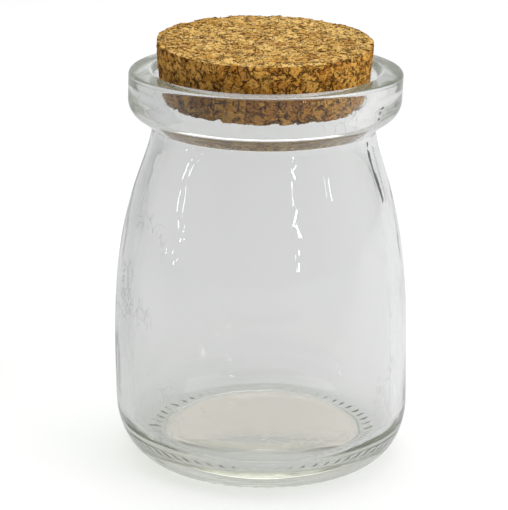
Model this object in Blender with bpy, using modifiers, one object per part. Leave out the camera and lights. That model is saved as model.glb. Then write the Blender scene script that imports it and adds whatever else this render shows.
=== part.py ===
"""Small glass storage jar with a heavy rim, stopped by a flat disc of agglomerated cork.

The jar is one turned, open glass vessel that stands on a narrow ring round its underside. Its
floor is slightly domed. The stopper is a separate tapered disc that sits a little askew in the
mouth, its far side higher.
All sizes are in metres, +Z is up, and the origin is the middle of the ring the jar stands on.
"""

import bmesh
import bpy
from math import atan2, cos, degrees, radians, sin, sqrt, tan, tau
from mathutils import Matrix, Vector, noise

MM = 0.001

# Glass jar, outside
JAR_HEIGHT = 80.0 * MM
BELLY_RADIUS = 30.0 * MM
BELLY_TOP_Z = 21.9 * MM
HEEL_HEIGHT = 11.5 * MM
CONTACT_OUTER_RADIUS = 21.8 * MM
CONTACT_INNER_RADIUS = 21.0 * MM
RECESS_RADIUS = 20.1 * MM
RECESS_DEPTH = 0.45 * MM
NECK_RADIUS = 22.3 * MM
NECK_Z = 69.5 * MM
BELLY_HANDLE = 33.0 * MM
NECK_HANDLE = 8.3 * MM
RIM_RADIUS = 27.2 * MM
RIM_EDGE_RADIUS = 0.9 * MM
RIM_CORNER_RADIUS = 4.1 * MM
RIM_CORNER_Z = 74.4 * MM
RIM_CORNER_TURN = 59.0
COLLAR_SLOPE = 36.0
COLLAR_CLEARANCE = 0.4 * MM

# Glass jar, inside
WALL = 2.8 * MM
FLOOR_Z = 4.8 * MM
FLOOR_SLOPE = 11.0
FLOOR_CORNER_RADIUS = 6.2 * MM
THROAT_RADIUS = 19.6 * MM
THROAT_Z = 68.8 * MM
BORE_RADIUS = 21.8 * MM
BORE_TOP_Z = 78.4 * MM
BORE_HANDLE = 5.4 * MM
THROAT_HANDLE = 2.6 * MM

# Cork stopper
CORK_HEIGHT = 11.5 * MM
CORK_TOP_RADIUS = 21.6 * MM
CORK_BOTTOM_RADIUS = 20.6 * MM
CORK_STAND_OUT = 5.9 * MM
CORK_TILT = radians(2.6)
CORK_SIDE_LEAN = radians(0.63)
CORK_SIDE_SHIFT = -0.3 * MM
CORK_EDGE = 0.25 * MM
CORK_CRUMB_SIZE = 2.4 * MM
CORK_CRUMB_DEPTH = 0.16 * MM

# Chips out of the cork's edges: turn about its axis in degrees (270 faces -Y), width across
# in degrees, depth, and which edge they are broken from
CORK_CHIPS = (
    (249.0, 7.0, 0.55 * MM, "bottom"),
    (262.0, 4.0, 0.30 * MM, "bottom"),
    (301.0, 6.0, 0.40 * MM, "bottom"),
    (338.0, 5.0, 0.45 * MM, "top"),
    (196.0, 6.0, 0.30 * MM, "top"),
    (78.0, 8.0, 0.45 * MM, "top"),
    (121.0, 6.0, 0.40 * MM, "bottom"),
)

TURN_STEPS = 96
MERGE_DISTANCE = 0.00001


def arc(centre, radius, start, end, steps):
    """Points (r, z) along a circular arc, with its angles in degrees from the +r direction."""
    points = []
    for i in range(steps + 1):
        angle = radians(start + (end - start) * i / steps)
        points.append((centre[0] + radius * cos(angle), centre[1] + radius * sin(angle)))
    return points


def bezier(p0, p1, p2, p3, steps):
    """Points (r, z) along a cubic Bezier curve."""
    points = []
    for i in range(steps + 1):
        t = i / steps
        u = 1.0 - t
        weights = (u * u * u, 3 * u * u * t, 3 * u * t * t, t * t * t)
        corners = (p0, p1, p2, p3)
        r = sum(w * p[0] for w, p in zip(weights, corners))
        z = sum(w * p[1] for w, p in zip(weights, corners))
        points.append((r, z))
    return points


def joined(*runs):
    """One run of points from several, without the doubled points where they meet."""
    points = []
    for run in runs:
        for point in run:
            if not points or abs(point[0] - points[-1][0]) + abs(point[1] - points[-1][1]) > 1e-7:
                points.append(point)
    return points


def inset(points, distance):
    """The run moved sideways towards the axis, square to its own direction at each point."""
    moved = []
    for i, (r, z) in enumerate(points):
        before = points[max(i - 1, 0)]
        after = points[min(i + 1, len(points) - 1)]
        run_r = after[0] - before[0]
        run_z = after[1] - before[1]
        length = sqrt(run_r * run_r + run_z * run_z)
        moved.append((r + distance * run_z / length, z - distance * run_r / length))
    return moved


def body_curve(steps):
    """The outside from the neck down to the top of the belly."""
    top = (NECK_RADIUS, NECK_Z)
    foot = (BELLY_RADIUS, BELLY_TOP_Z)
    return bezier(top, (top[0], top[1] - NECK_HANDLE), (foot[0], foot[1] + BELLY_HANDLE), foot, steps)


def outside(corner_steps, body_steps, heel_steps):
    """The outside from the flat of the rim down to the axis under the base."""
    edge_centre = (RIM_RADIUS - RIM_EDGE_RADIUS, JAR_HEIGHT - RIM_EDGE_RADIUS)
    corner_centre = (RIM_RADIUS - RIM_CORNER_RADIUS, RIM_CORNER_Z)
    corner = arc(corner_centre, RIM_CORNER_RADIUS, 0, -RIM_CORNER_TURN, corner_steps)
    collar_top = corner[-1]
    collar_fall = (collar_top[0] - NECK_RADIUS) * tan(radians(COLLAR_SLOPE))
    collar_foot = (NECK_RADIUS, collar_top[1] - collar_fall)
    body = [point for point in body_curve(body_steps) if point[1] < collar_foot[1] - COLLAR_CLEARANCE]
    heel = []
    for i in range(heel_steps + 1):
        angle = radians(90.0 * i / heel_steps)
        r = CONTACT_OUTER_RADIUS + (BELLY_RADIUS - CONTACT_OUTER_RADIUS) * cos(angle)
        heel.append((r, HEEL_HEIGHT * (1.0 - sin(angle))))
    return joined(
        arc(edge_centre, RIM_EDGE_RADIUS, 90, 0, 3),
        corner,
        [collar_foot],
        body,
        heel,
        [(CONTACT_INNER_RADIUS, 0.0), (RECESS_RADIUS, RECESS_DEPTH), (0.0, RECESS_DEPTH)],
    )


def inside(corner_steps, body_steps, bore_steps):
    """The inside from the axis at the floor up to the flat of the rim."""
    corner_centre = (BELLY_RADIUS - WALL - FLOOR_CORNER_RADIUS, FLOOR_Z + FLOOR_CORNER_RADIUS)
    corner = arc(corner_centre, FLOOR_CORNER_RADIUS, -90 - FLOOR_SLOPE, 0, corner_steps)
    edge_r, edge_z = corner[0]
    dome = edge_r * tan(radians(FLOOR_SLOPE)) / 2
    wall = [
        point
        for point in inset(body_curve(body_steps), WALL)[::-1]
        if point[1] < THROAT_Z - THROAT_HANDLE
    ]
    wall_top = wall[-1]
    wall_before = wall[-2]
    slope = (wall_top[0] - wall_before[0]) / (wall_top[1] - wall_before[1])
    rise = (THROAT_Z - wall_top[1]) / 2
    throat = (THROAT_RADIUS, THROAT_Z)
    bore_top = (BORE_RADIUS, BORE_TOP_Z)
    lip_radius = JAR_HEIGHT - BORE_TOP_Z
    lip_centre = (BORE_RADIUS + lip_radius, BORE_TOP_Z)
    return joined(
        [(edge_r * share, edge_z + dome * (1.0 - share * share)) for share in (0.0, 0.4, 0.75)],
        corner,
        wall,
        bezier(
            wall_top,
            (wall_top[0] + slope * rise, wall_top[1] + rise),
            (throat[0], throat[1] - rise),
            throat,
            2,
        ),
        bezier(
            throat,
            (throat[0], throat[1] + THROAT_HANDLE),
            (bore_top[0], bore_top[1] - BORE_HANDLE),
            bore_top,
            bore_steps,
        ),
        arc(lip_centre, lip_radius, 180, 90, 3),
    )


def cork_profile():
    """The stopper from the middle of its underside up its tapered side to the middle of its top."""
    edge = CORK_EDGE
    side = [
        (
            CORK_BOTTOM_RADIUS + (CORK_TOP_RADIUS - CORK_BOTTOM_RADIUS) * share,
            edge + (CORK_HEIGHT - 2 * edge) * share,
        )
        for share in (0.0, 0.2, 0.4, 0.6, 0.8, 1.0)
    ]
    under = [(CORK_BOTTOM_RADIUS * share, 0.0) for share in (0.0, 0.45, 0.8)]
    under.append((CORK_BOTTOM_RADIUS - edge, 0.0))
    top = [(CORK_TOP_RADIUS - edge, CORK_HEIGHT)]
    top += [(CORK_TOP_RADIUS * share, CORK_HEIGHT) for share in (0.85, 0.6, 0.3, 0.0)]
    return under + side + top


def turned(name, profile, collection):
    """A solid of revolution round Z, from a profile drawn in the XZ plane."""
    mesh = bpy.data.meshes.new(name + "_profile")
    vertices = [(r, 0.0, z) for r, z in profile]
    edges = [(i, i + 1) for i in range(len(profile) - 1)]
    mesh.from_pydata(vertices, edges, [])
    obj = bpy.data.objects.new(name, mesh)
    collection.objects.link(obj)
    screw = obj.modifiers.new("turn", "SCREW")
    screw.axis = "Z"
    screw.angle = tau
    screw.steps = TURN_STEPS
    screw.render_steps = TURN_STEPS
    screw.use_merge_vertices = True
    screw.merge_threshold = MERGE_DISTANCE
    screw.use_smooth_shade = True
    return obj


def made_mesh(obj):
    """The object with its modifiers applied, so that its own points can be moved."""
    graph = bpy.context.evaluated_depsgraph_get()
    mesh = bpy.data.meshes.new_from_object(obj.evaluated_get(graph))
    obj.modifiers.clear()
    obj.data = mesh
    return mesh


def chip_depth(point):
    """How far a chip has eaten into the cork at this point of its smooth form."""
    radius = sqrt(point.x * point.x + point.y * point.y)
    if radius < 0.7 * CORK_BOTTOM_RADIUS:
        return 0.0
    bearing = degrees(atan2(point.y, point.x))
    depth = 0.0
    for turn, width, chip, edge in CORK_CHIPS:
        away = abs((bearing - turn + 180.0) % 360.0 - 180.0)
        if edge == "bottom":
            below = point.z
        else:
            below = CORK_HEIGHT - point.z
        near_edge = max(0.0, 1.0 - below / (3.0 * MM))
        near_side = max(0.0, 1.0 - (CORK_TOP_RADIUS - radius) / (4.0 * MM))
        reach = max(0.0, 1.0 - away / width)
        depth = max(depth, chip * near_edge * near_side * sqrt(reach))
    return depth


def roughen_cork(mesh):
    """Pits between the pressed granules, and chips: each point moves in, square to the surface."""
    shape = bmesh.new()
    shape.from_mesh(mesh)
    bmesh.ops.remove_doubles(shape, verts=shape.verts, dist=MERGE_DISTANCE)
    bmesh.ops.recalc_face_normals(shape, faces=shape.faces)
    shape.normal_update()
    moves = []
    for vert in shape.verts:
        cell = noise.noise(vert.co / CORK_CRUMB_SIZE)
        fine = noise.noise(vert.co * 2.3 / CORK_CRUMB_SIZE + Vector((7.0, 3.0, 1.0)))
        pit = CORK_CRUMB_DEPTH * min(1.0, abs(cell) * 1.6 + abs(fine) * 0.6)
        moves.append(vert.normal * -(pit + chip_depth(vert.co)))
    for vert, move in zip(shape.verts, moves):
        vert.co += move
    shape.to_mesh(mesh)
    shape.free()


def linear(hex_colour):
    """Scene-linear RGBA from an sRGB hex colour."""
    channels = []
    for i in (1, 3, 5):
        value = int(hex_colour[i : i + 2], 16) / 255.0
        channels.append(value / 12.92 if value <= 0.04045 else ((value + 0.055) / 1.055) ** 2.4)
    return (*channels, 1.0)


def material(name, hex_colour, roughness, transmission=0.0):
    """A plain Principled material, clear where transmission is 1."""
    made = bpy.data.materials.new(name)
    made.use_nodes = True
    shader = made.node_tree.nodes["Principled BSDF"]
    shader.inputs["Base Color"].default_value = linear(hex_colour)
    shader.inputs["Roughness"].default_value = roughness
    shader.inputs["Metallic"].default_value = 0.0
    shader.inputs["Transmission Weight"].default_value = transmission
    made.diffuse_color = linear(hex_colour)
    return made


def make_jar(collection):
    """The open glass vessel: inside from the floor up, over the rim, and down the outside."""
    profile = joined(inside(5, 10, 5), outside(5, 9, 6))
    jar = turned("glass_jar", profile, collection)
    jar.data.materials.append(material("soda_lime_glass", "#E6ECE6", 0.02, 1.0))
    return jar


def make_cork(collection):
    """The stopper, turned about its own axis and then seated askew in the mouth."""
    cork = turned("cork_stopper", cork_profile()[::-1], collection)
    mesh = made_mesh(cork)
    roughen_cork(mesh)
    mesh.shade_smooth()
    mesh.set_sharp_from_angle(angle=radians(40))
    mesh.materials.append(material("agglomerated_cork", "#B4935A", 0.85))
    pivot = Vector((CORK_SIDE_SHIFT, 0.0, JAR_HEIGHT))
    sink = Vector((0.0, 0.0, CORK_STAND_OUT - CORK_HEIGHT))
    lean = Matrix.Rotation(CORK_SIDE_LEAN, 4, "Y") @ Matrix.Rotation(CORK_TILT, 4, "X")
    cork.matrix_world = Matrix.Translation(pivot) @ lean @ Matrix.Translation(sink)
    return cork


def main():
    for obj in list(bpy.data.objects):
        bpy.data.objects.remove(obj)
    collection = bpy.data.collections.new("glass_jar_with_cork")
    bpy.context.scene.collection.children.link(collection)
    make_jar(collection)
    make_cork(collection)


main()
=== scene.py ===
"""Small glass storage jar with a heavy rim, stopped by a flat disc of agglomerated cork.

The jar is turned from one profile by Geometry Nodes, which also gives it the slight waves of
pressed glass and the short ribs under its heel. The stopper is pressed from cork granules: its
faces are broken up granule by granule. Sizes are in metres, +Z is up.
"""

from math import cos, pi, radians, sin, sqrt, tan

import bpy
from bpy.props import FloatProperty, FloatVectorProperty, IntProperty, PointerProperty
from mathutils import Matrix, Vector


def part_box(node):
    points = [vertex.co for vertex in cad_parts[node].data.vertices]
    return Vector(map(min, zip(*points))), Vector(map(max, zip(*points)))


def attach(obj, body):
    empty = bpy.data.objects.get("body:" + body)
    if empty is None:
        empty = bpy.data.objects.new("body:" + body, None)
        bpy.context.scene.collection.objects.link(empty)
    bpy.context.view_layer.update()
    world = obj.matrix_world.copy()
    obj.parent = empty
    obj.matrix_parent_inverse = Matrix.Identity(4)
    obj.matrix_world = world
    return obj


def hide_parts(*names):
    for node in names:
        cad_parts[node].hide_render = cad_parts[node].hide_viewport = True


bl_info = {
    "name": "Cork-stopped glass jar",
    "version": (1, 0, 0),
    "blender": (4, 5, 0),
    "location": "View3D > Sidebar > Glass Jar",
    "description": "Builds a small glass jar with a pressed-cork stopper, and a plain studio round it",
    "category": "Add Mesh",
}

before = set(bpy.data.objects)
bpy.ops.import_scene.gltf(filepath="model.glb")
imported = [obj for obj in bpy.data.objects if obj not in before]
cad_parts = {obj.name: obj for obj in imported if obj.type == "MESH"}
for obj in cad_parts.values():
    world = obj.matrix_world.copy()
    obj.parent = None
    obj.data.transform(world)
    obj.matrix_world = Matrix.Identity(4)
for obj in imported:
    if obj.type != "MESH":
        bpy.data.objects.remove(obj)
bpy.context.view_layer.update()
JAR_LOW, JAR_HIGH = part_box("glass_jar")

MM = 0.001

# Glass jar, outside
RIM_EDGE_RADIUS = 0.9 * MM
RIM_CORNER_RADIUS = 4.1 * MM
RIM_CORNER_DROP = 5.6 * MM
RIM_CORNER_TURN = 59.0
COLLAR_SLOPE = 36.0
COLLAR_FOOT = 0.4 * MM
NECK_DROP = 10.5 * MM
NECK_RADIUS = 22.3 * MM
NECK_HANDLE = 8.3 * MM
BELLY_HANDLE = 33.0 * MM
BELLY_TOP_Z = 21.9 * MM
HEEL_HEIGHT = 11.5 * MM
CONTACT_OUTER_RADIUS = 21.8 * MM
CONTACT_INNER_RADIUS = 21.0 * MM
RECESS_RADIUS = 20.1 * MM
RECESS_DEPTH = 0.45 * MM

# Glass jar, inside
FLOOR_Z = 4.8 * MM
FLOOR_SLOPE = 11.0
FLOOR_CORNER_RADIUS = 6.2 * MM
THROAT_RADIUS = 19.6 * MM
THROAT_Z = 68.8 * MM
BORE_RADIUS = 21.8 * MM
BORE_TOP_DROP = 1.6 * MM
BORE_HANDLE = 5.4 * MM
THROAT_HANDLE = 2.6 * MM

# Steps along the curves of the profile
RIM_EDGE_STEPS = 8
RIM_CORNER_STEPS = 16
COLLAR_STEPS = 6
COLLAR_FILLET_STEPS = 8
BODY_STEPS = 52
BELLY_STEPS = 6
HEEL_STEPS = 40
RING_STEPS = 3
RECESS_STEPS = 12
DOME_STEPS = 20
FLOOR_CORNER_STEPS = 26
THROAT_STEPS = 8
BORE_STEPS = 16
LIP_STEPS = 10

# Ribs under the heel, round the ring that the jar stands on
RIB_INNER_RADIUS = 21.5 * MM
RIB_OUTER_RADIUS = 25.4 * MM
RIB_TOP_Z = 3.0 * MM
TURN_STEPS_PER_RIB = 6

# Waves of the pressed glass: weak at the foot, full up the body, and weaker again in the rim
WAVE_SEED = 4.0
WAVE_STRETCH = (1.0, 1.0, 0.55)
HEEL_WAVES_Z = (3.0 * MM, 12.0 * MM)
HEEL_WAVE_SHARE = 0.25
RIM_WAVES_Z = (66.0 * MM, 72.0 * MM)
RIM_WAVE_SHARE = 0.45

# Patterns in the skin of the glass: ripples, and tangles of hair-thin marks in a few patches. A hair
# is where the noise is this near its middle, and a patch is where another noise is past these values.
RIPPLE_WIDTH = 3.85 * MM
HAIR_CURL_WIDTH = 2.38 * MM
HAIR_PATCH_WIDTH = 13.33 * MM
HAIR_NOISE = 0.012
HAIR_HEIGHT = 3.0
HAIR_PATCH_NOISE = (0.64, 0.67)
SKIN_DEPTH = 0.02 * MM

# Cork stopper
CORK_STAND_OUT = 5.9 * MM
CORK_SIDE_SHIFT = -0.3 * MM
CORK_SIDE_LEAN = radians(0.63)
CORK_GRID_ACROSS = 168
CORK_GRID_UP = 46
# A granule: how often its outline bends in its own width, how far, how steep its face can be, and
# how many grains fit across it
OUTLINE_BENDS = 1.1
OUTLINE_REACH = 2.0
FACE_TILT = 2.0
GRAINS_ACROSS = 3.2
# Torn gaps, coarse and fine: cells to a granule, width in cells, shift, and the noise they open at.
# Each gap closes again along its length, this many times in a cell and over this step of the noise.
TORN_GAPS = ((1.0, 0.10, 0.0, 0.42), (2.1, 0.13, 0.05, 0.47))
TEARS_IN_CELL = 1.3
TEAR_STEP = 0.12
# Relief of a cut face, as shares of the depth of its gaps
SUNK_SHARE = 0.5
GRAIN_SHARE = 0.7
# Share of the granules that have left the edge, wear of the edge as a share of a chip, and how far
# in from the edge both go. The side is painted darker and warmer from its face to this far in:
# painted shade, partly standing for the side's deeper pits.
LOST_AT_EDGE = 0.3
EDGE_WEAR = 0.22
CHIPPED_EDGE = (0.3 * MM, 1.3 * MM)
SIDE_SHADE_REACH = (0.1 * MM, 0.5 * MM)
# Tone of the cork: what the granule, its grain and fine flecks add, flecks and bits of bark across
# a granule, share of reddish granules and how red they are, and where the noise turns to bark
TONE_BY_GRANULE = 0.30
TONE_BY_GRAIN = 0.45
TONE_BY_FLECK = 0.40
FLECKS_ACROSS = 7.0
BARK_ACROSS = 2.1
REDDISH_GRANULES = 0.10
REDNESS = 0.35
BARK_NOISE = (0.63, 0.69)
BARK_COVER = 0.85
CORK_BUMP = 0.35 * MM

# Lamps and sky: the broad lamp overhead, the window to the right, and the room round them
OVERHEAD_WATTS = 27.0
OVERHEAD_PLACE = (0.1, 0.3, 2.0)
OVERHEAD_TARGET = (0.0, 0.2, 0.0)
OVERHEAD_SIDE = 2.6
KEY_WATTS = 8.0
KEY_PLACE = (0.85, -0.55, 0.75)
KEY_SIDE = 0.6
JAR_MIDDLE = (0.0, 0.0, 0.05)
WORLD_STRENGTH = 1.0
ROOM_TURN = (-0.7, 0.1)
DARK_ROOM_SHARE = 0.35

# Chinks of a bright window that glint in the glass. Each is its bearing from the camera's side, its
# height above the table, its lean, its width and its length, in degrees.
GLINTS = (
    (-79.0, 16.0, 35.0, 0.8, 5.0),
    (-73.0, 12.0, 40.0, 0.7, 2.0),
    (-84.0, 21.0, 0.0, 0.8, 1.4),
    (-69.0, 9.0, 0.0, 0.8, 1.2),
    (-81.0, 4.0, 0.0, 0.7, 1.2),
    (-73.0, 2.5, 0.0, 0.7, 1.0),
    (28.6, 23.6, -10.0, 0.7, 1.2),
    (30.0, 19.6, -50.0, 1.1, 5.4),
    (31.5, 16.0, 40.0, 1.0, 4.6),
    (29.4, 9.8, 0.0, 0.8, 1.3),
    (30.0, 6.0, 0.0, 1.0, 2.0),
    (63.0, 23.0, 30.0, 0.8, 1.8),
    (65.0, 19.0, -20.0, 0.7, 1.4),
    (79.0, 21.0, 20.0, 0.8, 1.8),
)
GLINT_DISTANCE = 0.7
GLINT_RADIANCE = 18.0

# The white floor, and the grey card a hair above it that shows only in the glass. The card has painted
# shade to the left and in front, between these places, and a painted pool of light under the base with
# a painted shadow along its front. A real card's tooth is too fine to show, so it is drawn coarser.
CARD_TOOTH_WIDTH = 1.11 * MM
WHITE_CARD = "#F6F6F6"
GREY_CARD = "#D7D7D9"
PAINTED_SHADE_CARD = "#9A9B9D"
FLOOR_GAP = 0.02 * MM
SHADE_TO_LEFT = (-130.0 * MM, 50.0 * MM)
LEFT_UNSHADED_SHARE = 0.62
SHADE_IN_FRONT = (-100.0 * MM, -30.0 * MM)
PAINTED_LIGHT_UNDER_BASE = "#EBE3E0"
PATCH_RIM = (18.5 * MM, 21.0 * MM)
PATCH_FRONT = 7.5 * MM
PATCH_FRONT_BOW = 6.0
PATCH_FRONT_SLANT = 0.1
PATCH_EDGE = 0.2 * MM
CARD_SHADE = "#5E5A4C"
CARD_SHADE_WIDTH = 6.0 * MM

# A standing black card that gives the dark sliver at the glass's right shoulder: one foot, the run
# from there to the other foot, and the levels of its lower and upper edge
FLAG_FOOT = (0.318, 0.386)
FLAG_RUN = (0.033, -0.029)
FLAG_LOW = 0.004
FLAG_HIGH = 0.052
BLACK_CARD = "#141414"

# Camera, measured from the middle of the ring that the jar stands on
PHOTO_WIDTH = 508
CAMERA_DISTANCE = 382.9 * MM
CAMERA_HEIGHT = 161.7 * MM
CAMERA_PITCH = 0.3046
CAMERA_YAW = -0.0055
CAMERA_ROLL = 0.0085
CAMERA_FOCAL_PIXELS = 1970.9
SENSOR_WIDTH_MM = 36.0

# Light goes round the thick base and the rim many times before it comes out
GLASS_BOUNCES = 48

# The kinds of node used most, and the middle of a noise's colour
MATH = "ShaderNodeMath"
VECTORS = "ShaderNodeVectorMath"
RANGE = "ShaderNodeMapRange"
NOISE = "ShaderNodeTexNoise"
MIX = "ShaderNodeMix"
HALVES = (0.5, 0.5, 0.5)


class JarSettings(bpy.types.PropertyGroup):
    """Sizes and colour of the glass."""

    height: FloatProperty(
        name="Height",
        description="From the table to the flat of the rim",
        default=JAR_HIGH.z,
        unit="LENGTH",
    )
    belly_radius: FloatProperty(
        name="Belly radius",
        description="Radius of the widest part",
        default=(JAR_HIGH.x - JAR_LOW.x) / 2,
        unit="LENGTH",
    )
    rim_radius: FloatProperty(
        name="Rim radius", description="Outside of the heavy rim", default=27.2 * MM, unit="LENGTH"
    )
    wall: FloatProperty(
        name="Wall", description="Thickness of the body's glass", default=2.8 * MM, unit="LENGTH"
    )
    ribs: IntProperty(name="Ribs", description="Short ribs round the underside", default=56, min=8)
    rib_depth: FloatProperty(
        name="Rib depth",
        description="How deep the grooves between the ribs are",
        default=0.42 * MM,
        unit="LENGTH",
    )
    wave_depth: FloatProperty(
        name="Wave depth",
        description="How far the pressed glass is from true",
        default=0.10 * MM,
        unit="LENGTH",
    )
    wave_size: FloatProperty(
        name="Wave size", description="Width of one wave in the glass", default=9.0 * MM, unit="LENGTH"
    )
    sway: FloatProperty(
        name="Sway",
        description="How far the middle of the body stands to one side of the rim and the base",
        default=0.7 * MM,
        unit="LENGTH",
    )
    tint: FloatVectorProperty(
        name="Tint",
        description="What a wall of the glass lets through",
        subtype="COLOR",
        size=3,
        min=0,
        max=1,
        default=(0.96, 0.962, 0.955),
    )


class CorkSettings(bpy.types.PropertyGroup):
    """Sizes of the stopper and of its granules."""

    height: FloatProperty(
        name="Height", description="Thickness of the disc", default=11.5 * MM, unit="LENGTH"
    )
    top_radius: FloatProperty(
        name="Top radius", description="Radius of the top", default=21.6 * MM, unit="LENGTH"
    )
    bottom_radius: FloatProperty(
        name="Bottom radius", description="Radius of the underside", default=20.6 * MM, unit="LENGTH"
    )
    tilt: FloatProperty(
        name="Tilt",
        description="How far the stopper is from level in the mouth",
        default=radians(2.6),
        unit="ROTATION",
    )
    granule: FloatProperty(
        name="Granule", description="Width of one granule of ground cork", default=2.2 * MM, unit="LENGTH"
    )
    relief: FloatProperty(
        name="Relief", description="Depth of the gaps between the granules", default=0.16 * MM, unit="LENGTH"
    )
    chip: FloatProperty(
        name="Chip",
        description="Depth left by a granule that has broken off an edge",
        default=0.6 * MM,
        unit="LENGTH",
    )


class StageSettings(bpy.types.PropertyGroup):
    """The floor and the lamps."""

    floor_size: FloatProperty(name="Floor size", description="Side of the floor", default=4.0, unit="LENGTH")
    light: FloatProperty(
        name="Light", description="Scales all lamps and the sky together", default=1.0, min=0.0
    )


def linear(hex_colour):
    """Scene-linear RGBA from an sRGB hex colour."""
    channels = []
    for i in (1, 3, 5):
        value = int(hex_colour[i : i + 2], 16) / 255.0
        channels.append(value / 12.92 if value <= 0.04045 else ((value + 0.055) / 1.055) ** 2.4)
    return (*channels, 1.0)


def arc(centre, radius, start, end, steps):
    """Points (r, z) along a circular arc, with its angles in degrees from the +r direction."""
    points = []
    for i in range(steps + 1):
        angle = radians(start + (end - start) * i / steps)
        points.append((centre[0] + radius * cos(angle), centre[1] + radius * sin(angle)))
    return points


def bezier(p0, p1, p2, p3, steps):
    """Points (r, z) along a cubic Bezier curve."""
    points = []
    for i in range(steps + 1):
        t = i / steps
        u = 1.0 - t
        weights = (u * u * u, 3 * u * u * t, 3 * u * t * t, t * t * t)
        corners = (p0, p1, p2, p3)
        r = sum(w * p[0] for w, p in zip(weights, corners))
        z = sum(w * p[1] for w, p in zip(weights, corners))
        points.append((r, z))
    return points


def line(start, end, steps):
    """Points (r, z) along a straight line."""
    return [
        (start[0] + (end[0] - start[0]) * i / steps, start[1] + (end[1] - start[1]) * i / steps)
        for i in range(steps + 1)
    ]


def joined(*runs):
    """One run of points from several, without the doubled points where they meet."""
    points = []
    for run in runs:
        for point in run:
            if not points or abs(point[0] - points[-1][0]) + abs(point[1] - points[-1][1]) > 1e-7:
                points.append(point)
    return points


def inset(points, distance):
    """The run moved sideways towards the axis, square to its own direction at each point."""
    moved = []
    for i, (r, z) in enumerate(points):
        before = points[max(i - 1, 0)]
        after = points[min(i + 1, len(points) - 1)]
        run_r = after[0] - before[0]
        run_z = after[1] - before[1]
        length = sqrt(run_r * run_r + run_z * run_z)
        moved.append((r + distance * run_z / length, z - distance * run_r / length))
    return moved


class JarProfile:
    """The turned outline of the glass, worked out from the jar's settings."""

    def __init__(self, jar):
        self.jar = jar
        self.corner_centre = (jar.rim_radius - RIM_CORNER_RADIUS, jar.height - RIM_CORNER_DROP)
        self.neck_z = jar.height - NECK_DROP

    def body_curve(self, steps):
        """The outside from the neck down to the top of the belly."""
        top = (NECK_RADIUS, self.neck_z)
        foot = (self.jar.belly_radius, BELLY_TOP_Z)
        return bezier(top, (top[0], top[1] - NECK_HANDLE), (foot[0], foot[1] + BELLY_HANDLE), foot, steps)

    def heel(self, steps):
        """A quarter of an ellipse from the belly round to the ring that the jar stands on."""
        points = []
        for i in range(steps + 1):
            angle = radians(90.0 * i / steps)
            r = CONTACT_OUTER_RADIUS + (self.jar.belly_radius - CONTACT_OUTER_RADIUS) * cos(angle)
            points.append((r, HEEL_HEIGHT * (1.0 - sin(angle))))
        return points

    def outside(self):
        """From the flat of the rim down to the axis under the base."""
        edge_centre = (self.jar.rim_radius - RIM_EDGE_RADIUS, self.jar.height - RIM_EDGE_RADIUS)
        corner = arc(self.corner_centre, RIM_CORNER_RADIUS, 0, -RIM_CORNER_TURN, RIM_CORNER_STEPS)
        collar_top = corner[-1]
        fall = tan(radians(COLLAR_SLOPE))
        collar_foot = (NECK_RADIUS, collar_top[1] - (collar_top[0] - NECK_RADIUS) * fall)
        collar_low = (NECK_RADIUS + COLLAR_FOOT, collar_foot[1] + COLLAR_FOOT * fall)
        body = [p for p in self.body_curve(BODY_STEPS) if p[1] < collar_foot[1] - COLLAR_FOOT]
        recess_edge = (CONTACT_INNER_RADIUS + RECESS_RADIUS) / 2
        return joined(
            arc(edge_centre, RIM_EDGE_RADIUS, 90, 0, RIM_EDGE_STEPS),
            corner,
            line(collar_top, collar_low, COLLAR_STEPS),
            bezier(collar_low, collar_foot, collar_foot, body[0], COLLAR_FILLET_STEPS),
            body,
            line((self.jar.belly_radius, BELLY_TOP_Z), (self.jar.belly_radius, HEEL_HEIGHT), BELLY_STEPS),
            self.heel(HEEL_STEPS),
            line((CONTACT_OUTER_RADIUS, 0.0), (CONTACT_INNER_RADIUS, 0.0), RING_STEPS),
            bezier(
                (CONTACT_INNER_RADIUS, 0.0),
                (recess_edge, 0.0),
                (recess_edge, RECESS_DEPTH),
                (RECESS_RADIUS, RECESS_DEPTH),
                RECESS_STEPS,
            ),
            line((RECESS_RADIUS, RECESS_DEPTH), (0.0, RECESS_DEPTH), RECESS_STEPS),
        )

    def inside(self):
        """From the axis at the floor up to the flat of the rim."""
        wall = self.jar.wall
        corner_centre = (self.jar.belly_radius - wall - FLOOR_CORNER_RADIUS, FLOOR_Z + FLOOR_CORNER_RADIUS)
        corner = arc(corner_centre, FLOOR_CORNER_RADIUS, -90 - FLOOR_SLOPE, 0, FLOOR_CORNER_STEPS)
        edge_r, edge_z = corner[0]
        dome = edge_r * tan(radians(FLOOR_SLOPE)) / 2
        wall_line = inset(self.body_curve(BODY_STEPS), wall)[::-1]
        body = [p for p in wall_line if p[1] < THROAT_Z - THROAT_HANDLE]
        slope = (body[-1][0] - body[-2][0]) / (body[-1][1] - body[-2][1])
        rise = (THROAT_Z - body[-1][1]) / 2
        throat = (THROAT_RADIUS, THROAT_Z)
        bore_top = (BORE_RADIUS, self.jar.height - BORE_TOP_DROP)
        lip_centre = (BORE_RADIUS + BORE_TOP_DROP, bore_top[1])
        return joined(
            bezier(
                (0.0, edge_z + dome),
                (edge_r / 3, edge_z + dome),
                (edge_r * 2 / 3, edge_z + dome * 2 / 3),
                (edge_r, edge_z),
                DOME_STEPS,
            ),
            corner,
            body,
            bezier(
                body[-1],
                (body[-1][0] + slope * rise, body[-1][1] + rise),
                (throat[0], throat[1] - rise),
                throat,
                THROAT_STEPS,
            ),
            bezier(
                throat,
                (throat[0], throat[1] + THROAT_HANDLE),
                (bore_top[0], bore_top[1] - BORE_HANDLE),
                bore_top,
                BORE_STEPS,
            ),
            arc(lip_centre, BORE_TOP_DROP, 180, 90, LIP_STEPS),
        )


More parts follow.
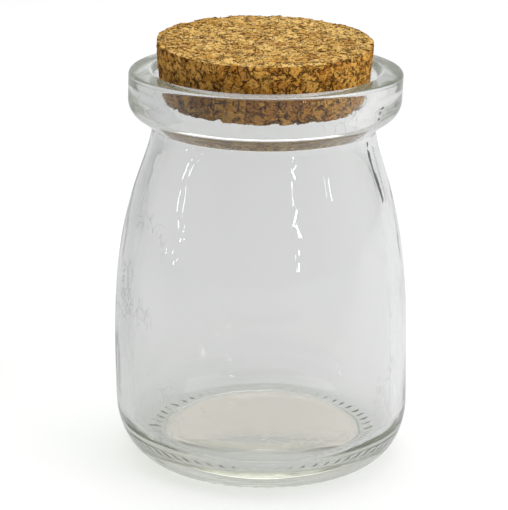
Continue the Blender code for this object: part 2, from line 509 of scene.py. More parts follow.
def add(tree, kind, inputs=(), **settings):
    """A node of this kind, with its settings, and each input linked to a socket or set to a value.

    The inputs come in their order, or by number or name. A node among them is linked by its first output.
    """
    node = tree.nodes.new(kind)
    for name, value in settings.items():
        setattr(node, name, value)
    for key, value in inputs.items() if isinstance(inputs, dict) else enumerate(inputs):
        source = value.outputs[0] if isinstance(value, bpy.types.Node) else value
        if isinstance(source, bpy.types.NodeSocket):
            tree.links.new(source, node.inputs[key])
        else:
            node.inputs[key].default_value = source
    return node


def geometry_tree(name, sockets):
    """An empty Geometry Nodes tree with a mesh in and out, and these named inputs."""
    tree = bpy.data.node_groups.new(name, "GeometryNodeTree")
    tree.interface.new_socket("Geometry", in_out="INPUT", socket_type="NodeSocketGeometry")
    tree.interface.new_socket("Geometry", in_out="OUTPUT", socket_type="NodeSocketGeometry")
    for socket_name, kind in sockets:
        tree.interface.new_socket(socket_name, in_out="INPUT", socket_type="NodeSocket" + kind)
    return tree


def granules(tree, place, size, per_size):
    """The granule at a place: chance values, nearness to a torn gap, grain, and tilt of its face."""
    bend_scale = add(tree, MATH, (per_size, OUTLINE_BENDS), operation="MULTIPLY")
    noise = add(tree, NOISE, {"Vector": place, "Scale": bend_scale, "Detail": 2.0}).outputs["Color"]
    bend_way = add(tree, VECTORS, (noise, HALVES), operation="SUBTRACT")
    reach = add(tree, MATH, (size, OUTLINE_REACH), operation="MULTIPLY")
    bend = add(tree, VECTORS, {0: bend_way, "Scale": reach}, operation="SCALE")
    bent = add(tree, VECTORS, (place, bend), operation="ADD")
    cells = add(tree, "ShaderNodeTexVoronoi", {"Vector": bent, "Scale": per_size}, feature="F1").outputs
    chance = add(tree, "ShaderNodeSeparateXYZ", (cells["Color"],)).outputs
    from_middle = add(tree, VECTORS, (bent, cells["Position"]), operation="SUBTRACT")
    tilt_way = add(tree, VECTORS, (cells["Color"], HALVES), operation="SUBTRACT")
    rise = add(tree, VECTORS, (from_middle, tilt_way), operation="DOT_PRODUCT").outputs["Value"]
    rise_share = add(tree, MATH, (rise, per_size), operation="MULTIPLY")
    tilted = add(tree, MATH, (rise_share, FACE_TILT), operation="MULTIPLY")
    near = 0.0
    for share, width, offset, opens_at in TORN_GAPS:
        scale = add(tree, MATH, (per_size, share), operation="MULTIPLY")
        cracks = {"Vector": bent, "Scale": scale}
        edge = add(tree, "ShaderNodeTexVoronoi", cracks, feature="DISTANCE_TO_EDGE").outputs["Distance"]
        line_here = add(tree, RANGE, (edge, 0.0, width, 1.0, 0.0))
        moved = add(tree, VECTORS, (place, (offset, offset, offset)), operation="ADD")
        tear_scale = add(tree, MATH, (scale, TEARS_IN_CELL), operation="MULTIPLY")
        torn = add(tree, NOISE, {"Vector": moved, "Scale": tear_scale, "Detail": 2.0})
        open_here = add(tree, RANGE, (torn, opens_at, opens_at + TEAR_STEP))
        gap_here = add(tree, MATH, (line_here, open_here), operation="MULTIPLY")
        near = add(tree, MATH, (near, gap_here), operation="MAXIMUM")
    grain_scale = add(tree, MATH, (per_size, GRAINS_ACROSS), operation="MULTIPLY")
    grain = add(tree, NOISE, {"Vector": bent, "Scale": grain_scale, "Detail": 3.0})
    return chance, near, grain, tilted


def run_tree(obj, tree, values):
    """The object's mesh as the tree makes it, with the modifier gone again."""
    modifier = obj.modifiers.new(tree.name, "NODES")
    modifier.node_group = tree
    for item in tree.interface.items_tree:
        if item.in_out == "INPUT" and item.name in values:
            modifier[item.identifier] = values[item.name]
    graph = bpy.context.evaluated_depsgraph_get()
    mesh = bpy.data.meshes.new_from_object(obj.evaluated_get(graph))
    if not mesh.polygons:
        raise RuntimeError(obj.name + " came out without a face")
    obj.modifiers.clear()
    old = obj.data
    obj.data = mesh
    bpy.data.meshes.remove(old)
    mesh.name = obj.name


def turned_glass_tree():
    """Turns a profile in the XZ plane round Z, waves its surface, cuts the ribs and sways the body."""
    tree = geometry_tree(
        "turned_glass",
        (
            ("Turn Steps", "Int"),
            ("Ribs", "Int"),
            ("Rib Depth", "Float"),
            ("Wave Depth", "Float"),
            ("Wave Size", "Float"),
            ("Wave Seed", "Float"),
            ("Sway", "Float"),
            ("Height", "Float"),
            ("Glass", "Material"),
        ),
    )
    given = add(tree, "NodeGroupInput").outputs
    drawn_points = add(tree, "GeometryNodeAttributeDomainSize", {"Geometry": given["Geometry"]})
    rows = drawn_points.outputs["Point Count"]
    columns = add(tree, MATH, (given["Turn Steps"], 1.0), operation="ADD")
    sheet = add(
        tree,
        "GeometryNodeMeshGrid",
        {"Size X": 1.0, "Size Y": 1.0, "Vertices X": columns, "Vertices Y": rows},
    )

    # Across the sheet is the way round the axis, and up the sheet is the way along the profile.
    on_sheet = add(tree, "GeometryNodeInputPosition")
    place = add(tree, "ShaderNodeSeparateXYZ", (on_sheet,)).outputs
    turn_share = add(tree, MATH, (place["X"], 0.5), operation="ADD")
    turn = add(tree, MATH, (turn_share, 2 * pi), operation="MULTIPLY")
    last = add(tree, MATH, (rows, 1.0), operation="SUBTRACT")
    row_share = add(tree, MATH, (place["Y"], 0.5), operation="ADD")
    row_place = add(tree, MATH, (row_share, last), operation="MULTIPLY")
    row = add(tree, MATH, (row_place,), operation="ROUND")
    on_profile = add(tree, "GeometryNodeInputPosition")
    point = add(
        tree,
        "GeometryNodeSampleIndex",
        {"Geometry": given["Geometry"], "Value": on_profile, "Index": row},
        data_type="FLOAT_VECTOR",
    ).outputs["Value"]
    drawn = add(tree, "ShaderNodeSeparateXYZ", (point,)).outputs
    cosine = add(tree, MATH, (turn,), operation="COSINE")
    sine = add(tree, MATH, (turn,), operation="SINE")
    x = add(tree, MATH, (drawn["X"], cosine), operation="MULTIPLY")
    y = add(tree, MATH, (drawn["X"], sine), operation="MULTIPLY")
    round_axis = add(tree, "ShaderNodeCombineXYZ", (x, y, drawn["Z"]))
    shell = add(tree, "GeometryNodeSetPosition", {"Geometry": sheet, "Position": round_axis})
    merged = add(tree, "GeometryNodeMergeByDistance", {"Geometry": shell, "Distance": 1e-6})
    closed = add(tree, "GeometryNodeFlipFaces", {"Mesh": merged})

    # Pressed glass is smooth but never true: slow waves, longer upwards than round.
    here = add(tree, "GeometryNodeInputPosition")
    parts = add(tree, "ShaderNodeSeparateXYZ", (here,)).outputs
    per_wave = add(tree, MATH, (1.0, given["Wave Size"]), operation="DIVIDE")
    scaled = add(tree, VECTORS, {0: here, "Scale": per_wave}, operation="SCALE")
    stretched = add(tree, VECTORS, (scaled, WAVE_STRETCH), operation="MULTIPLY")
    wave = add(
        tree,
        NOISE,
        {"Vector": stretched, "W": given["Wave Seed"], "Scale": 1.0, "Detail": 2.5, "Roughness": 0.45},
        noise_dimensions="4D",
    )
    above_heel = add(tree, RANGE, (parts["Z"], *HEEL_WAVES_Z, HEEL_WAVE_SHARE, 1.0))
    below_rim = add(tree, RANGE, (parts["Z"], *RIM_WAVES_Z, 1.0, RIM_WAVE_SHARE))
    share = add(tree, MATH, (above_heel, below_rim), operation="MULTIPLY")
    reach = add(tree, MATH, (share, given["Wave Depth"]), operation="MULTIPLY")
    whole_reach = add(tree, MATH, (reach, 2.0), operation="MULTIPLY")
    in_or_out = add(tree, MATH, (wave, 0.5), operation="SUBTRACT")
    push = add(tree, MATH, (in_or_out, whole_reach), operation="MULTIPLY")
    normal = add(tree, "GeometryNodeInputNormal")
    out = add(tree, VECTORS, {0: normal, "Scale": push}, operation="SCALE")
    waved = add(tree, "GeometryNodeSetPosition", {"Geometry": closed, "Offset": out})

    # Grooves between the ribs, cut up into the underside of the heel.
    flat = add(tree, "ShaderNodeCombineXYZ", (parts["X"], parts["Y"]))
    radius = add(tree, VECTORS, (flat,), operation="LENGTH").outputs["Value"]
    across = add(tree, RANGE, (radius, RIB_INNER_RADIUS, RIB_OUTER_RADIUS, 0.0, pi))
    arch = add(tree, MATH, (across,), operation="SINE")
    on_underside = add(tree, MATH, (parts["Z"], RIB_TOP_Z), operation="LESS_THAN")
    bearing = add(tree, MATH, (parts["Y"], parts["X"]), operation="ARCTAN2")
    beat = add(tree, MATH, (bearing, given["Ribs"]), operation="MULTIPLY")
    swing = add(tree, MATH, (beat,), operation="COSINE")
    upward_swing = add(tree, MATH, (swing, 1.0), operation="ADD")
    groove = add(tree, MATH, (upward_swing, 0.5), operation="MULTIPLY")
    low_groove = add(tree, MATH, (groove, on_underside), operation="MULTIPLY")
    cut = add(tree, MATH, (arch, low_groove), operation="MULTIPLY")
    cut_depth = add(tree, MATH, (cut, given["Rib Depth"]), operation="MULTIPLY")
    lift = add(tree, "ShaderNodeCombineXYZ", {"Z": cut_depth})
    ribbed = add(tree, "GeometryNodeSetPosition", {"Geometry": waved, "Offset": lift})

    # The middle of the body stands a little to one side; the rim and the base stay where they are.
    # Four times the share below by the share above is one at mid-height and nothing at the ends.
    height_share = add(tree, MATH, (parts["Z"], given["Height"]), operation="DIVIDE")
    rest_share = add(tree, MATH, (1.0, height_share), operation="SUBTRACT")
    bow = add(tree, MATH, (height_share, rest_share), operation="MULTIPLY")
    whole_bow = add(tree, MATH, (bow, -4.0), operation="MULTIPLY")
    aside = add(tree, MATH, (whole_bow, given["Sway"]), operation="MULTIPLY")
    sideways = add(tree, "ShaderNodeCombineXYZ", {"X": aside})
    swayed = add(tree, "GeometryNodeSetPosition", {"Geometry": ribbed, "Offset": sideways})
    smooth = add(tree, "GeometryNodeSetShadeSmooth", {"Geometry": swayed, "Shade Smooth": True})
    real = add(tree, "GeometryNodeRealizeInstances", {"Geometry": smooth})
    glazed = add(tree, "GeometryNodeSetMaterial", {"Geometry": real, "Material": given["Glass"]})
    add(tree, "NodeGroupOutput", {"Geometry": glazed})
    return tree


def pressed_cork_tree():
    """A tapered disc whose faces are broken up granule by granule, seated askew in the mouth."""
    tree = geometry_tree(
        "pressed_cork",
        (
            ("Across", "Int"),
            ("Up", "Int"),
            ("Top Radius", "Float"),
            ("Bottom Radius", "Float"),
            ("Height", "Float"),
            ("Tilt", "Vector"),
            ("Seat", "Vector"),
            ("Granule", "Float"),
            ("Relief", "Float"),
            ("Chip", "Float"),
            ("Cork", "Material"),
        ),
    )
    given = add(tree, "NodeGroupInput").outputs
    size = add(tree, "ShaderNodeCombineXYZ", (2.0, 2.0, given["Height"]))
    block = add(
        tree,
        "GeometryNodeMeshCube",
        {
            "Size": size,
            "Vertices X": given["Across"],
            "Vertices Y": given["Across"],
            "Vertices Z": given["Up"],
        },
    )

    # The block's square layers are drawn in to round ones.
    here = add(tree, "GeometryNodeInputPosition")
    parts = add(tree, "ShaderNodeSeparateXYZ", (here,)).outputs
    from_x = add(tree, MATH, (parts["X"],), operation="ABSOLUTE")
    from_y = add(tree, MATH, (parts["Y"],), operation="ABSOLUTE")
    from_z = add(tree, MATH, (parts["Z"],), operation="ABSOLUTE")
    square = add(tree, MATH, (from_x, from_y), operation="MAXIMUM")
    flat = add(tree, "ShaderNodeCombineXYZ", (parts["X"], parts["Y"]))
    length = add(tree, VECTORS, (flat,), operation="LENGTH").outputs["Value"]
    height_share = add(tree, MATH, (parts["Z"], given["Height"]), operation="DIVIDE")
    share_up = add(tree, MATH, (height_share, 0.5), operation="ADD")
    radius = add(tree, RANGE, (share_up, 0.0, 1.0, given["Bottom Radius"], given["Top Radius"]))
    reach = add(tree, MATH, (square, radius), operation="MULTIPLY")
    off_axis = add(tree, MATH, (length, 1e-6), operation="MAXIMUM")
    pull = add(tree, MATH, (reach, off_axis), operation="DIVIDE")
    x = add(tree, MATH, (parts["X"], pull), operation="MULTIPLY")
    y = add(tree, MATH, (parts["Y"], pull), operation="MULTIPLY")
    disc_point = add(tree, "ShaderNodeCombineXYZ", (x, y, parts["Z"]))

    # How near each point is to the side, and to the corner between the side and a flat face.
    inside_share = add(tree, MATH, (1.0, square), operation="SUBTRACT")
    from_side = add(tree, MATH, (inside_share, radius), operation="MULTIPLY")
    half = add(tree, MATH, (given["Height"], 2.0), operation="DIVIDE")
    from_face = add(tree, MATH, (half, from_z), operation="SUBTRACT")
    from_corner = add(tree, MATH, (from_side, from_face), operation="ADD")
    # Share of the painted shade on the side, from its face inwards.
    on_side = add(tree, RANGE, (from_side, *SIDE_SHADE_REACH, 1.0, 0.0))
    marked = block
    for name, value in (("from_corner", from_corner), ("side_shade", on_side)):
        marked = add(
            tree,
            "GeometryNodeStoreNamedAttribute",
            {"Geometry": marked, "Name": name, "Value": value},
            data_type="FLOAT",
            domain="POINT",
        )
    disc = add(tree, "GeometryNodeSetPosition", {"Geometry": marked, "Position": disc_point})
    raised = add(
        tree,
        "GeometryNodeTransform",
        {"Geometry": disc, "Translation": given["Seat"], "Rotation": given["Tilt"]},
    )

    # Each granule sits a little high or low, with torn gaps between, and some have left the edge.
    spot = add(tree, "GeometryNodeInputPosition")
    per_granule = add(tree, MATH, (1.0, given["Granule"]), operation="DIVIDE")
    chance, gap, grain, tilted = granules(tree, spot, given["Granule"], per_granule)
    sunk = add(tree, MATH, (chance["X"], SUNK_SHARE), operation="MULTIPLY")
    lumps = add(tree, MATH, (grain, GRAIN_SHARE), operation="MULTIPLY")
    rough = add(tree, MATH, (lumps, tilted), operation="ADD")
    low = add(tree, MATH, (gap, sunk), operation="ADD")
    all_low = add(tree, MATH, (low, rough), operation="ADD")
    depth = add(tree, MATH, (all_low, given["Relief"]), operation="MULTIPLY")
    lost = add(tree, MATH, (chance["Y"], LOST_AT_EDGE), operation="LESS_THAN")
    corner = add(tree, "GeometryNodeInputNamedAttribute", {"Name": "from_corner"}, data_type="FLOAT")
    edge_share = add(tree, RANGE, (corner, *CHIPPED_EDGE, 1.0, 0.0))
    lost_share = add(tree, MATH, (lost, edge_share), operation="MULTIPLY")
    chipped = add(tree, MATH, (lost_share, given["Chip"]), operation="MULTIPLY")
    wear = add(tree, MATH, (given["Chip"], EDGE_WEAR), operation="MULTIPLY")
    worn = add(tree, MATH, (edge_share, wear), operation="MULTIPLY")
    depth_with_chips = add(tree, MATH, (depth, chipped), operation="ADD")
    whole_depth = add(tree, MATH, (depth_with_chips, worn), operation="ADD")
    sink = add(tree, MATH, (whole_depth, -1.0), operation="MULTIPLY")
    normal = add(tree, "GeometryNodeInputNormal")
    inward = add(tree, VECTORS, {0: normal, "Scale": sink}, operation="SCALE")
    broken = add(tree, "GeometryNodeSetPosition", {"Geometry": raised, "Offset": inward})
    smooth = add(tree, "GeometryNodeSetShadeSmooth", {"Geometry": broken, "Shade Smooth": True})
    real = add(tree, "GeometryNodeRealizeInstances", {"Geometry": smooth})
    done = add(tree, "GeometryNodeSetMaterial", {"Geometry": real, "Material": given["Cork"]})
    add(tree, "NodeGroupOutput", {"Geometry": done})
    return tree


def new_material(name):
    """A material with an empty node tree, its Principled shader and its output."""
    made = bpy.data.materials.new(name)
    made.use_nodes = True
    tree = made.node_tree
    tree.nodes.clear()
    shader = add(tree, "ShaderNodeBsdfPrincipled")
    add(tree, "ShaderNodeOutputMaterial", {"Surface": shader})
    return made, tree, shader


def pressed_soda_lime_glass(jar):
    """Clear soda-lime glass, pressed in a mould: colourless in a wall, faintly olive where it is thick."""
    made, tree, shader = new_material("pressed_soda_lime_glass")
    shader.inputs["Base Color"].default_value = (*jar.tint, 1.0)
    shader.inputs["Roughness"].default_value = 0.0
    shader.inputs["IOR"].default_value = 1.52
    shader.inputs["Transmission Weight"].default_value = 1.0
    # The mould's skin: very fine ripples, and here and there a tangle of hair-thin flow marks.
    place = add(tree, "ShaderNodeTexCoord").outputs["Object"]
    ripples = {"Vector": place, "Scale": 1.0 / RIPPLE_WIDTH, "Detail": 2.0, "Roughness": 0.5}
    ripple = add(tree, NOISE, ripples)
    curl = add(tree, NOISE, {"Vector": place, "Scale": 1.0 / HAIR_CURL_WIDTH, "Detail": 1.5})
    from_middle = add(tree, MATH, (curl, 0.5), operation="SUBTRACT")
    off_middle = add(tree, MATH, (from_middle,), operation="ABSOLUTE")
    hair = add(tree, RANGE, (off_middle, 0.0, HAIR_NOISE, 1.0, 0.0))
    patches = add(tree, NOISE, {"Vector": place, "Scale": 1.0 / HAIR_PATCH_WIDTH, "Detail": 1.0})
    in_patch = add(tree, RANGE, (patches, *HAIR_PATCH_NOISE))
    hair_in_patch = add(tree, MATH, (hair, in_patch), operation="MULTIPLY")
    marks = add(tree, MATH, (hair_in_patch, HAIR_HEIGHT), operation="MULTIPLY")
    skin = add(tree, MATH, (ripple, marks), operation="ADD")
    bump = add(tree, "ShaderNodeBump", {"Height": skin, "Strength": 0.3, "Distance": SKIN_DEPTH})
    tree.links.new(bump.outputs[0], shader.inputs["Normal"])
    # Lamps shine through the wall, as they do through real glass.
    lets_through = add(tree, "ShaderNodeBsdfTransparent", {"Color": linear("#FAFBF9")})
    shadow_ray = add(tree, "ShaderNodeLightPath").outputs["Is Shadow Ray"]
    mix = add(tree, "ShaderNodeMixShader", (shadow_ray, shader, lets_through))
    output = tree.nodes["Material Output"]
    tree.links.new(mix.outputs[0], output.inputs["Surface"])
    depth = add(tree, "ShaderNodeVolumeAbsorption", {"Color": linear("#CDD2B8"), "Density": 8.0})
    tree.links.new(depth.outputs[0], output.inputs["Volume"])
    return made


def agglomerated_cork(cork):
    """Ground cork pressed into a block and cut: torn, angular granules; the side is painted darker and
    warmer as shade.
    """
    made, tree, shader = new_material("agglomerated_cork")
    place = add(tree, "ShaderNodeTexCoord").outputs["Object"]
    per_granule = 1.0 / cork.granule
    chance, gap, grain, tilted = granules(tree, place, cork.granule, per_granule)
    flecks = {"Vector": place, "Scale": per_granule * FLECKS_ACROSS, "Detail": 3.0, "Roughness": 0.7}
    fine = add(tree, NOISE, flecks)
    by_granule = add(tree, MATH, (chance["X"], TONE_BY_GRANULE), operation="MULTIPLY")
    by_grain = add(tree, MATH, (grain, TONE_BY_GRAIN), operation="MULTIPLY")
    by_fleck = add(tree, MATH, (fine, TONE_BY_FLECK), operation="MULTIPLY")
    within = add(tree, MATH, (by_grain, by_fleck), operation="ADD")
    tone = add(tree, MATH, (by_granule, within), operation="ADD")
    ramp = add(tree, "ShaderNodeValToRGB", (tone,))
    ramp.color_ramp.elements[0].position = 0.28
    ramp.color_ramp.elements[0].color = linear("#6E4306")
    ramp.color_ramp.elements[1].position = 0.66
    ramp.color_ramp.elements[1].color = linear("#E8BE70")
    middle = ramp.color_ramp.elements.new(0.44)
    middle.color = linear("#C4923E")
    few = add(tree, MATH, (chance["Z"], REDDISH_GRANULES), operation="LESS_THAN")
    red = add(tree, MATH, (few, REDNESS), operation="MULTIPLY")
    reddish = add(tree, MIX, {0: red, 6: ramp.outputs[0], 7: linear("#8A4A1E")}, data_type="RGBA")
    # Torn gaps are brown with glue, and bits of bark are nearly black.
    torn = add(tree, MIX, {0: gap, 6: reddish.outputs[2], 7: linear("#4A2605")}, data_type="RGBA")
    barks = add(tree, NOISE, {"Vector": place, "Scale": per_granule * BARK_ACROSS, "Detail": 3.0})
    bark = add(tree, RANGE, (barks, *BARK_NOISE, 0.0, BARK_COVER))
    barky = add(tree, MIX, {0: bark, 6: torn.outputs[2], 7: linear("#451F08")}, data_type="RGBA")
    # Painted shade: the side is multiplied darker and warmer than the faces, partly standing for its deeper
    # pits.
    side = add(tree, "ShaderNodeAttribute", attribute_name="side_shade").outputs["Fac"]
    shade = add(tree, MIX, {0: side, 6: linear("#FFFFFF"), 7: linear("#F2DCB4")}, data_type="RGBA")
    both = {0: 1.0, 6: barky.outputs[2], 7: shade.outputs[2]}
    colour = add(tree, MIX, both, data_type="RGBA", blend_type="MULTIPLY").outputs[2]
    tree.links.new(colour, shader.inputs["Base Color"])
    shader.inputs["Roughness"].default_value = 0.85
    shader.inputs["Specular IOR Level"].default_value = 0.25
    lumps = add(tree, MATH, (grain, 0.8), operation="MULTIPLY")
    tilts = add(tree, MATH, (tilted, 1.2), operation="MULTIPLY")
    face = add(tree, MATH, (lumps, tilts), operation="ADD")
    hollow = add(tree, MATH, (gap, bark), operation="MAXIMUM")
    height = add(tree, MATH, (face, hollow), operation="SUBTRACT")
    bump = add(tree, "ShaderNodeBump", {"Height": height, "Strength": 1.0, "Distance": CORK_BUMP})
    tree.links.new(bump.outputs[0], shader.inputs["Normal"])
    return made


def matt_card(name, colour):
    """Matt card, rolled: even and without shine, with a fine tooth that only shows close to."""
    made, tree, shader = new_material(name)
    place = add(tree, "ShaderNodeTexCoord").outputs["Object"]
    tooth = add(tree, NOISE, {"Vector": place, "Scale": 1.0 / CARD_TOOTH_WIDTH, "Detail": 2.0})
    shader.inputs["Base Color"].default_value = linear(colour)
    shader.inputs["Roughness"].default_value = 0.9
    shader.inputs["Specular IOR Level"].default_value = 0.1
    bump = add(tree, "ShaderNodeBump", {"Height": tooth, "Strength": 0.1, "Distance": 0.05 * MM})
    tree.links.new(bump.outputs[0], shader.inputs["Normal"])
    return made


def grey_card_under_jar():
    """Grey card with painted shade to the left and in front, and a painted pool of light under the base."""
    made = matt_card("grey_card", GREY_CARD)
    tree = made.node_tree
    shader = tree.nodes["Principled BSDF"]
    place = add(tree, "ShaderNodeTexCoord").outputs["Object"]
    parts = add(tree, "ShaderNodeSeparateXYZ", (place,)).outputs
    # Painted shade: the card is darker to the left, where the jar's shadow falls, and in front.
    across = add(tree, RANGE, (parts["X"], *SHADE_TO_LEFT, LEFT_UNSHADED_SHARE, 1.0))
    back = add(tree, RANGE, (parts["Y"], *SHADE_IN_FRONT))
    bright = add(tree, MATH, (across, back), operation="MULTIPLY")
    shaded_card = add(tree, MIX, {0: bright, 6: linear(PAINTED_SHADE_CARD), 7: linear(GREY_CARD)}, data_type="RGBA")
    # The painted pool of light ends in front along a nearly straight edge, with a narrow painted shadow
    # along it.
    from_axis = add(tree, VECTORS, (place,), operation="LENGTH").outputs["Value"]
    under = add(tree, RANGE, (from_axis, *PATCH_RIM, 1.0, 0.0))
    x_squared = add(tree, MATH, (parts["X"], parts["X"]), operation="MULTIPLY")
    bow = add(tree, MATH, (x_squared, PATCH_FRONT_BOW), operation="MULTIPLY")
    slant = add(tree, MATH, (parts["X"], PATCH_FRONT_SLANT), operation="MULTIPLY")
    forward = add(tree, MATH, (parts["Y"], -1.0), operation="MULTIPLY")
    past_front = add(tree, MATH, (forward, PATCH_FRONT), operation="SUBTRACT")
    past_bow = add(tree, MATH, (past_front, bow), operation="SUBTRACT")
    past = add(tree, MATH, (past_bow, slant), operation="SUBTRACT")
    behind = add(tree, RANGE, (past, -PATCH_EDGE, PATCH_EDGE, 1.0, 0.0))
    # Painted light: a pale beige pool under the base, standing for the light that the glass gathers there.
    light_pool = add(tree, MATH, (under, behind), operation="MULTIPLY")
    patch = add(tree, MIX, {0: light_pool, 6: shaded_card.outputs[2], 7: linear(PAINTED_LIGHT_UNDER_BASE)}, data_type="RGBA")
    fade = add(tree, RANGE, (past, 0.0, CARD_SHADE_WIDTH, 1.0, 0.0))
    ahead = add(tree, MATH, (1.0, behind), operation="SUBTRACT")
    fade_ahead = add(tree, MATH, (fade, ahead), operation="MULTIPLY")
    shade = add(tree, MATH, (fade_ahead, under), operation="MULTIPLY")
    shaded = {0: shade, 6: patch.outputs[2], 7: linear(CARD_SHADE)}
    tone = add(tree, MIX, shaded, data_type="RGBA").outputs[2]
    tree.links.new(tone, shader.inputs["Base Color"])
    return made


def object_of(name, mesh):
    """An object for this mesh, linked to the scene at the origin."""
    made = bpy.data.objects.new(name, mesh)
    bpy.context.scene.collection.objects.link(made)
    return made


def level_sheet(size, level):
    """The corners of a level square in the middle of the stage."""
    half = size / 2
    return ((-half, -half, level), (half, -half, level), (half, half, level), (-half, half, level))


def card(name, corners, surface):
    """A flat card of the stage."""
    mesh = bpy.data.meshes.new(name)
    mesh.from_pydata(corners, [], [(0, 1, 2, 3)])
    mesh.materials.append(surface)
    made = object_of(name, mesh)
    return made


def seen_in_glass(name, corners, surface):
    """A card that shows only in the glass, as what stood round the jar does in the photograph."""
    made = card(name, corners, surface)
    made.visible_camera = False
    made.visible_diffuse = False
    made.visible_shadow = False
    return made


def lamp(name, place, target, size, energy):
    """A soft rectangular lamp at a place, aimed at a target."""
    light = bpy.data.lights.new(name, "AREA")
    light.shape = "RECTANGLE"
    light.size = size[0]
    light.size_y = size[1]
    light.energy = energy
    made = object_of(name, light)
    direction = Vector(target) - Vector(place)
    made.matrix_world = Matrix.Translation(place) @ direction.to_track_quat("-Z", "Y").to_matrix().to_4x4()
    return made


def photo_camera():
    """The camera where the photograph was taken from."""
    data = bpy.data.cameras.new("photo_camera")
    data.sensor_fit = "HORIZONTAL"
    data.sensor_width = SENSOR_WIDTH_MM
    data.lens = CAMERA_FOCAL_PIXELS * SENSOR_WIDTH_MM / PHOTO_WIDTH
    data.clip_start = 10.0 * MM
    data.clip_end = 50.0
    forward = Vector(
        (
            sin(CAMERA_YAW) * cos(CAMERA_PITCH),
            cos(CAMERA_YAW) * cos(CAMERA_PITCH),
            -sin(CAMERA_PITCH),
        )
    )
    right = Vector((cos(CAMERA_YAW), -sin(CAMERA_YAW), 0.0))
    up = right.cross(forward)
    rolled_right = cos(CAMERA_ROLL) * right + sin(CAMERA_ROLL) * up
    rolled_up = cos(CAMERA_ROLL) * up - sin(CAMERA_ROLL) * right
    turn = Matrix((rolled_right, rolled_up, -forward)).transposed().to_4x4()
    made = object_of("photo_camera", data)
    made.matrix_world = Matrix.Translation((0.0, -CAMERA_DISTANCE, CAMERA_HEIGHT)) @ turn
    bpy.context.scene.camera = made
    return made


class GLASSJAR_OT_make_jar(bpy.types.Operator):
    """Turn the glass jar from its profile"""

    bl_idname = "glassjar.make_jar"
    bl_label = "Make glass jar"

    def execute(self, context):
        jar = context.scene.glass_jar
        profile = JarProfile(jar)
        points = joined(profile.inside(), profile.outside())
        mesh = bpy.data.meshes.new("glass_jar_profile")
        mesh.from_pydata([(r, 0.0, z) for r, z in points], [(i, i + 1) for i in range(len(points) - 1)], [])
        glass = object_of("pressed_glass_jar", mesh)
        run_tree(
            glass,
            turned_glass_tree(),
            {
                "Turn Steps": jar.ribs * TURN_STEPS_PER_RIB,
                "Ribs": jar.ribs,
                "Rib Depth": jar.rib_depth,
                "Wave Depth": jar.wave_depth,
                "Wave Size": jar.wave_size,
                "Wave Seed": WAVE_SEED,
                "Sway": jar.sway,
                "Height": jar.height,
                "Glass": pressed_soda_lime_glass(jar),
            },
        )
        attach(glass, "root")
        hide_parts("glass_jar")
        return {"FINISHED"}


class GLASSJAR_OT_make_cork(bpy.types.Operator):
    """Press the cork stopper and seat it in the mouth"""

    bl_idname = "glassjar.make_cork"
    bl_label = "Make cork stopper"

    def execute(self, context):
        cork = context.scene.cork_stopper
        stopper = object_of("pressed_cork_disc", bpy.data.meshes.new("pressed_cork_disc"))
        lean = Matrix.Rotation(CORK_SIDE_LEAN, 3, "Y") @ Matrix.Rotation(cork.tilt, 3, "X")
        middle = lean @ Vector((0.0, 0.0, CORK_STAND_OUT - cork.height / 2))
        seat = Vector((CORK_SIDE_SHIFT, 0.0, context.scene.glass_jar.height)) + middle
        run_tree(
            stopper,
            pressed_cork_tree(),
            {
                "Across": CORK_GRID_ACROSS,
                "Up": CORK_GRID_UP,
                "Top Radius": cork.top_radius,
                "Bottom Radius": cork.bottom_radius,
                "Height": cork.height,
                "Tilt": (cork.tilt, CORK_SIDE_LEAN, 0.0),
                "Seat": tuple(seat),
                "Granule": cork.granule,
                "Relief": cork.relief,
                "Chip": cork.chip,
                "Cork": agglomerated_cork(cork),
            },
        )
        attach(stopper, "root")
        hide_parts("cork_stopper")
        return {"FINISHED"}


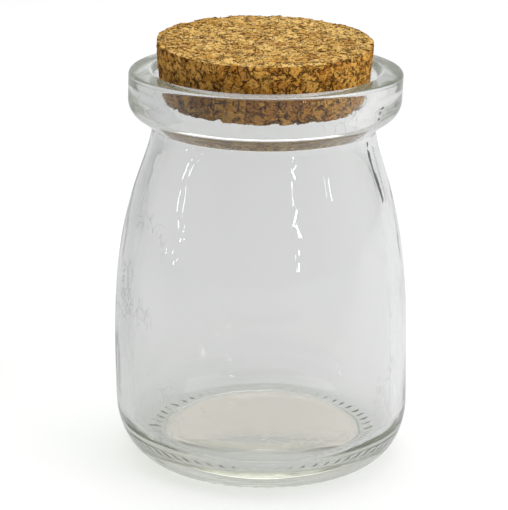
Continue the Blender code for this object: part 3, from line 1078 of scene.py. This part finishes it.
class GLASSJAR_OT_make_stage(bpy.types.Operator):
    """Lay the floor, hang the lamps and place the camera"""

    bl_idname = "glassjar.make_stage"
    bl_label = "Make stage"

    def execute(self, context):
        stage = context.scene.jar_stage
        # The photograph was cut out onto white, but its glass still shows the grey card it stood on.
        white_sheet = level_sheet(stage.floor_size, -FLOOR_GAP)
        white = card("white_floor", white_sheet, matt_card("white_card", WHITE_CARD))
        white.visible_transmission = False
        white.visible_glossy = False
        seen_in_glass("grey_floor", level_sheet(stage.floor_size, 0.0), grey_card_under_jar())
        overhead_size = (OVERHEAD_SIDE, OVERHEAD_SIDE)
        lamp("overhead", OVERHEAD_PLACE, OVERHEAD_TARGET, overhead_size, OVERHEAD_WATTS * stage.light)
        key = lamp("key_window", KEY_PLACE, JAR_MIDDLE, (KEY_SIDE, KEY_SIDE), KEY_WATTS * stage.light)
        key.visible_glossy = False
        key.visible_transmission = False
        far_foot = (FLAG_FOOT[0] + FLAG_RUN[0], FLAG_FOOT[1] + FLAG_RUN[1])
        corners = (
            (*FLAG_FOOT, FLAG_LOW),
            (*far_foot, FLAG_LOW),
            (*far_foot, FLAG_HIGH),
            (*FLAG_FOOT, FLAG_HIGH),
        )
        seen_in_glass("black_flag", corners, matt_card("black_card", BLACK_CARD))
        for bearing, height, lean, width, tall in GLINTS:
            up = radians(height)
            away = Vector((sin(radians(bearing)) * cos(up), -cos(radians(bearing)) * cos(up), sin(up)))
            size = (GLINT_DISTANCE * radians(width), GLINT_DISTANCE * radians(tall))
            watts = GLINT_RADIANCE * pi * size[0] * size[1] * stage.light
            glint = lamp("glint", away * GLINT_DISTANCE, JAR_MIDDLE, size, watts)
            glint.matrix_world = glint.matrix_world @ Matrix.Rotation(radians(lean), 4, "Z")
        world = bpy.data.worlds.new("studio")
        world.use_nodes = True
        world.node_tree.nodes.clear()
        tree = world.node_tree
        # The room is darker behind the camera, so the front of the glass throws back little of it.
        way = add(tree, "ShaderNodeTexCoord").outputs["Generated"]
        away = add(tree, "ShaderNodeSeparateXYZ", (way,)).outputs["Y"]
        glow = add(tree, RANGE, (away, *ROOM_TURN, DARK_ROOM_SHARE, 1.0))
        strength = add(tree, MATH, (glow, WORLD_STRENGTH * stage.light), operation="MULTIPLY")
        sky = add(tree, "ShaderNodeBackground", {"Color": linear("#D2D3D2"), "Strength": strength})
        add(tree, "ShaderNodeOutputWorld", {"Surface": sky})
        context.scene.world = world
        context.scene.cycles.max_bounces = GLASS_BOUNCES
        context.scene.cycles.glossy_bounces = GLASS_BOUNCES
        context.scene.cycles.transmission_bounces = GLASS_BOUNCES
        context.scene.view_settings.view_transform = "Standard"
        photo_camera()
        return {"FINISHED"}


class GLASSJAR_PT_panel(bpy.types.Panel):
    """The jar's pieces and their settings"""

    bl_idname = "GLASSJAR_PT_panel"
    bl_label = "Glass Jar"
    bl_space_type = "VIEW_3D"
    bl_region_type = "UI"
    bl_category = "Glass Jar"

    def draw(self, context):
        for settings, operator in PANEL_ROWS:
            box = self.layout.box()
            group = getattr(context.scene, settings)
            for name in group.bl_rna.properties.keys():
                if name not in ("rna_type", "name"):
                    box.prop(group, name)
            box.operator(operator)


PANEL_ROWS = (
    ("glass_jar", "glassjar.make_jar"),
    ("cork_stopper", "glassjar.make_cork"),
    ("jar_stage", "glassjar.make_stage"),
)
CLASSES = (
    JarSettings,
    CorkSettings,
    StageSettings,
    GLASSJAR_OT_make_jar,
    GLASSJAR_OT_make_cork,
    GLASSJAR_OT_make_stage,
    GLASSJAR_PT_panel,
)


def register():
    for cls in CLASSES:
        bpy.utils.register_class(cls)
    bpy.types.Scene.glass_jar = PointerProperty(type=JarSettings)
    bpy.types.Scene.cork_stopper = PointerProperty(type=CorkSettings)
    bpy.types.Scene.jar_stage = PointerProperty(type=StageSettings)


def unregister():
    del bpy.types.Scene.jar_stage
    del bpy.types.Scene.cork_stopper
    del bpy.types.Scene.glass_jar
    for cls in reversed(CLASSES):
        bpy.utils.unregister_class(cls)


def main():
    register()
    bpy.ops.glassjar.make_jar()
    bpy.ops.glassjar.make_cork()
    bpy.ops.glassjar.make_stage()


if __name__ == "__main__":
    main()
